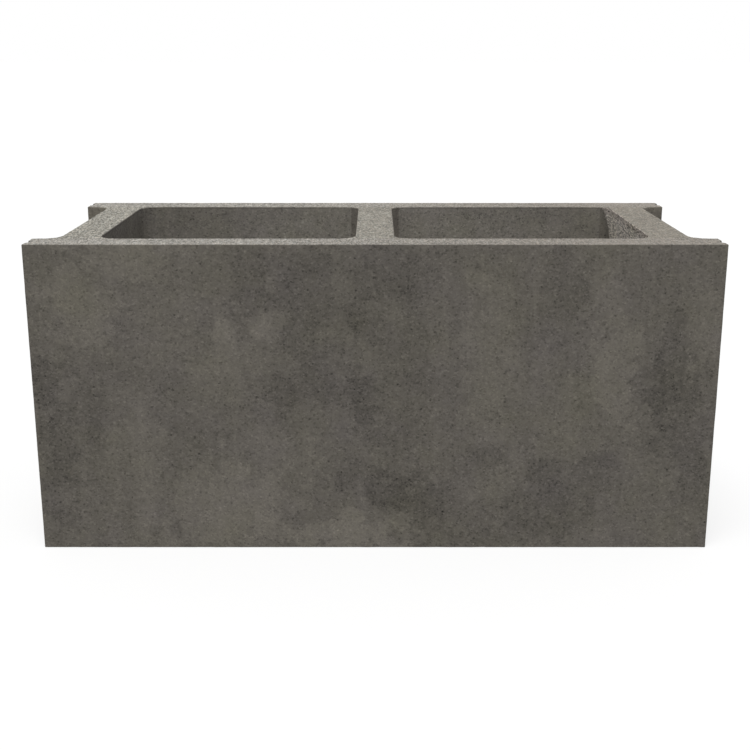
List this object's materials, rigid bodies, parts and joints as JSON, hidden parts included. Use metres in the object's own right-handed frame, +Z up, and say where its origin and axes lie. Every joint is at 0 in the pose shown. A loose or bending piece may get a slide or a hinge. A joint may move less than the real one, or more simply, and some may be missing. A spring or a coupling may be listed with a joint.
{
  "type": "hollow concrete block",
  "caption": "Hollow concrete wall block with drafted cells, filleted end ears and mortar grooves; laid in courses, cells left open or filled.",
  "frame": {"origin": "centre of the bottom bed, under the middle web", "axes": "+X along the block towards one end, +Y through the wall's thickness towards the back face, +Z up, from the bottom bed to the top bed with the thicker shells"},
  "size_m": [0.411, 0.19, 0.19],
  "materials": {
    "concrete": "moulded grey concrete: dense, mottled sides and an open, grainy top bed"
  },
  "bodies": {
    "root": {"concrete_block": "concrete"}
  },
  "joints": []
}
